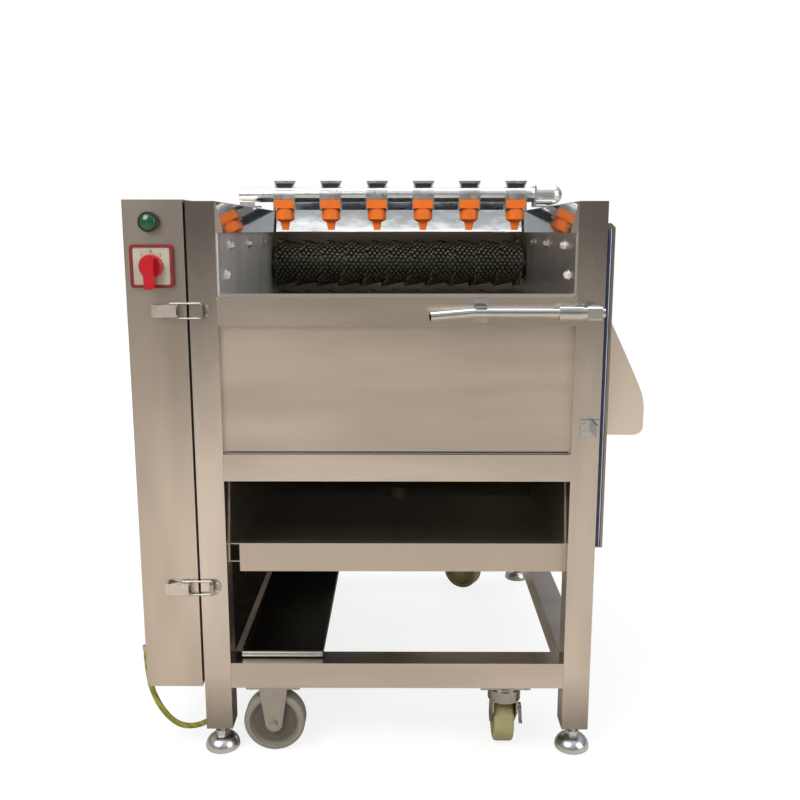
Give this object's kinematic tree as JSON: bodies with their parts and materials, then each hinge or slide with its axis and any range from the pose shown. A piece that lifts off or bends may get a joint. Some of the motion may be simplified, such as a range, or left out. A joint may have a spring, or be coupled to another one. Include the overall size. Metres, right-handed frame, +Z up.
{
  "type": "potato peeler",
  "caption": "Floor-standing stainless brush-roller potato washer and peeler with spray pipe, chain drive, side discharge gate with hand lever, drain pan, casters and levelling feet.",
  "frame": {"origin": "centre of the base of the outer box (earth lead left out), on the floor plane under the feet", "axes": "+X to the right seen from the front (towards the discharge chute), +Y to the back, +Z up"},
  "size_m": [0.7982, 0.7956, 0.8774],
  "materials": {
    "tube_steel": "satin, brushed along the tube",
    "plate_steel": "satin",
    "sheet_steel": "satin sheet",
    "polished_steel": "mirror polished",
    "machined_steel": "turned",
    "chain_steel": "oiled",
    "bearing_iron": "painted casting",
    "motor_paint": "semi-gloss",
    "bristle": "olive nylon bristle",
    "black_rubber": "matte",
    "orange_plastic": "moulded",
    "red_plastic": "moulded",
    "switch_plastic": "moulded",
    "green_lens": "moulded lens",
    "chrome_trim": "plated",
    "zinc_steel": "zinc plated",
    "tyre_tread": "solid rubber",
    "lead_sleeve": "green and yellow insulation"
  },
  "bodies": {
    "frame": {"casing_gasket": "black_rubber", "caster_brackets": "zinc_steel", "discharge_chute": "sheet_steel", "drain_pan": "polished_steel", "drive_casing": "sheet_steel", "drive_chain": "chain_steel", "earth_lead": "lead_sleeve", "feed_hopper": "polished_steel", "frame_posts": "tube_steel", "frame_rails": "tube_steel", "front_panel": "sheet_steel", "gear_motor": "motor_paint", "latch_plates": "chrome_trim", "left_end_plate": "plate_steel", "lever_catches": "plate_steel", "motor_tray": "sheet_steel", "nozzle_clips": "machined_steel", "pilot_bezel": "chrome_trim", "pilot_lens": "green_lens", "rear_panel": "sheet_steel", "right_cover": "sheet_steel", "right_end_plate": "plate_steel", "shaft_bearings": "bearing_iron", "spray_nozzles": "orange_plastic", "spray_pipe": "polished_steel", "switch_plate": "switch_plastic"},
    "roller_1": {"brush_roller_1": "bristle", "roller_shaft_1": "machined_steel"},
    "roller_2": {"brush_roller_2": "bristle", "roller_shaft_2": "machined_steel"},
    "roller_3": {"brush_roller_3": "bristle", "roller_shaft_3": "machined_steel"},
    "roller_4": {"brush_roller_4": "bristle", "roller_shaft_4": "machined_steel"},
    "roller_5": {"brush_roller_5": "bristle", "roller_shaft_5": "machined_steel"},
    "roller_6": {"brush_roller_6": "bristle", "roller_shaft_6": "machined_steel"},
    "roller_7": {"brush_roller_7": "bristle", "roller_shaft_7": "machined_steel"},
    "motor_output": {"motor_sprocket": "machined_steel"},
    "discharge_gate": {"discharge_door": "plate_steel", "door_shaft": "machined_steel", "door_lever": "polished_steel"},
    "knob": {"switch_knob": "red_plastic"},
    "upper_lever": {"upper_latch_lever": "chrome_trim"},
    "upper_bail": {"upper_latch_bail": "chrome_trim"},
    "lower_lever": {"lower_latch_lever": "chrome_trim"},
    "lower_bail": {"lower_latch_bail": "chrome_trim"},
    "wheel_front_left": {"caster_wheel_front_left": "tyre_tread"},
    "foot_front_left": {"levelling_foot_front_left": "zinc_steel"},
    "wheel_rear_left": {"caster_wheel_rear_left": "tyre_tread"},
    "foot_rear_left": {"levelling_foot_rear_left": "zinc_steel"},
    "wheel_front_right": {"caster_wheel_front_right": "tyre_tread"},
    "foot_front_right": {"levelling_foot_front_right": "zinc_steel"},
    "wheel_rear_right": {"caster_wheel_rear_right": "tyre_tread"},
    "foot_rear_right": {"levelling_foot_rear_right": "zinc_steel"},
    "fork_front_right": {"swivel_fork_front_right": "zinc_steel"},
    "fork_rear_right": {"swivel_fork_rear_right": "zinc_steel"},
    "brake_pedal": {"caster_brake": "zinc_steel"}
  },
  "joints": [
    {"name": "roller_1_spin", "type": "hinge", "parent": "frame", "child": "roller_1", "pos_m": [-0.00737, 0.19776, 0.72851], "axis": [1, 0, 0], "continuous": true},
    {"name": "roller_2_spin", "type": "hinge", "parent": "frame", "child": "roller_2", "pos_m": [-0.00737, 0.19235, 0.6302], "axis": [1, 0, 0], "continuous": true},
    {"name": "roller_3_spin", "type": "hinge", "parent": "frame", "child": "roller_3", "pos_m": [-0.00737, 0.14069, 0.54638], "axis": [1, 0, 0], "continuous": true},
    {"name": "roller_4_spin", "type": "hinge", "parent": "frame", "child": "roller_4", "pos_m": [-0.00737, 0.05529, 0.49737], "axis": [1, 0, 0], "continuous": true},
    {"name": "roller_5_spin", "type": "hinge", "parent": "frame", "child": "roller_5", "pos_m": [-0.00737, -0.04314, 0.49505], "axis": [1, 0, 0], "continuous": true},
    {"name": "roller_6_spin", "type": "hinge", "parent": "frame", "child": "roller_6", "pos_m": [-0.00737, -0.13076, 0.53998], "axis": [1, 0, 0], "continuous": true},
    {"name": "roller_7_spin", "type": "hinge", "parent": "frame", "child": "roller_7", "pos_m": [-0.00737, -0.18632, 0.62126], "axis": [1, 0, 0], "continuous": true},
    {"name": "motor_spin", "type": "hinge", "parent": "frame", "child": "motor_output", "pos_m": [-0.30738, 0.17711, 0.233], "axis": [1, 0, 0], "continuous": true},
    {"name": "gate_swing", "type": "hinge", "parent": "frame", "child": "discharge_gate", "pos_m": [0.26663, 0.0195, 0.68], "axis": [0, -1, 0], "range_deg": [0, 90]},
    {"name": "switch_turn", "type": "hinge", "parent": "frame", "child": "knob", "pos_m": [-0.34808, -0.3525, 0.743], "axis": [0, 1, 0], "range_deg": [-40, 40]},
    {"name": "upper_latch_throw", "type": "hinge", "parent": "frame", "child": "upper_lever", "pos_m": [-0.31738, -0.3585, 0.681], "axis": [0, 0, 1], "range_deg": [0, 90]},
    {"name": "upper_bail_swing", "type": "hinge", "parent": "upper_lever", "child": "upper_bail", "pos_m": [-0.32538, -0.3575, 0.681], "axis": [0, 0, 1], "range_deg": [-80, 0]},
    {"name": "lower_latch_throw", "type": "hinge", "parent": "frame", "child": "lower_lever", "pos_m": [-0.31738, -0.3585, 0.27], "axis": [0, 0, 1], "range_deg": [0, 90]},
    {"name": "lower_bail_swing", "type": "hinge", "parent": "lower_lever", "child": "lower_bail", "pos_m": [-0.32538, -0.3575, 0.27], "axis": [0, 0, 1], "range_deg": [-80, 0]},
    {"name": "front_left_wheel_spin", "type": "hinge", "parent": "frame", "child": "wheel_front_left", "pos_m": [-0.19637, -0.3325, 0.0478], "axis": [0, 1, 0], "continuous": true},
    {"name": "rear_left_wheel_spin", "type": "hinge", "parent": "frame", "child": "wheel_rear_left", "pos_m": [-0.19637, 0.3075, 0.0478], "axis": [0, 1, 0], "continuous": true},
    {"name": "front_right_swivel", "type": "hinge", "parent": "frame", "child": "fork_front_right", "pos_m": [0.15762, -0.3325, 0.1], "axis": [0, 0, 1], "continuous": true},
    {"name": "front_right_wheel_spin", "type": "hinge", "parent": "fork_front_right", "child": "wheel_front_right", "pos_m": [0.15762, -0.3075, 0.0408], "axis": [1, 0, 0], "continuous": true},
    {"name": "rear_right_swivel", "type": "hinge", "parent": "frame", "child": "fork_rear_right", "pos_m": [0.15762, 0.3075, 0.1], "axis": [0, 0, 1], "continuous": true},
    {"name": "rear_right_wheel_spin", "type": "hinge", "parent": "fork_rear_right", "child": "wheel_rear_right", "pos_m": [0.13597, 0.32, 0.0408], "axis": [0.5, 0.866, 0], "continuous": true},
    {"name": "brake_press", "type": "hinge", "parent": "fork_front_right", "child": "brake_pedal", "pos_m": [0.15762, -0.3455, 0.075], "axis": [1, 0, 0], "range_deg": [0, 15]},
    {"name": "front_left_foot_slide", "type": "slide", "parent": "frame", "child": "foot_front_left", "axis": [0, 0, 1], "range_m": [-0.015, 0]},
    {"name": "rear_left_foot_slide", "type": "slide", "parent": "frame", "child": "foot_rear_left", "axis": [0, 0, 1], "range_m": [-0.015, 0]},
    {"name": "front_right_foot_slide", "type": "slide", "parent": "frame", "child": "foot_front_right", "axis": [0, 0, 1], "range_m": [-0.015, 0]},
    {"name": "rear_right_foot_slide", "type": "slide", "parent": "frame", "child": "foot_rear_right", "axis": [0, 0, 1], "range_m": [-0.015, 0]}
  ],
  "couplings": [
    {"joint": "roller_1_spin", "follows": "roller_4_spin", "ratio": 1},
    {"joint": "roller_2_spin", "follows": "roller_4_spin", "ratio": 1},
    {"joint": "roller_3_spin", "follows": "roller_4_spin", "ratio": 1},
    {"joint": "roller_5_spin", "follows": "roller_4_spin", "ratio": 1},
    {"joint": "roller_6_spin", "follows": "roller_4_spin", "ratio": 1},
    {"joint": "roller_7_spin", "follows": "roller_4_spin", "ratio": 1},
    {"joint": "motor_spin", "follows": "roller_4_spin", "ratio": 2},
    {"joint": "upper_bail_swing", "follows": "upper_latch_throw", "ratio": -0.85},
    {"joint": "lower_bail_swing", "follows": "lower_latch_throw", "ratio": -0.85}
  ]
}
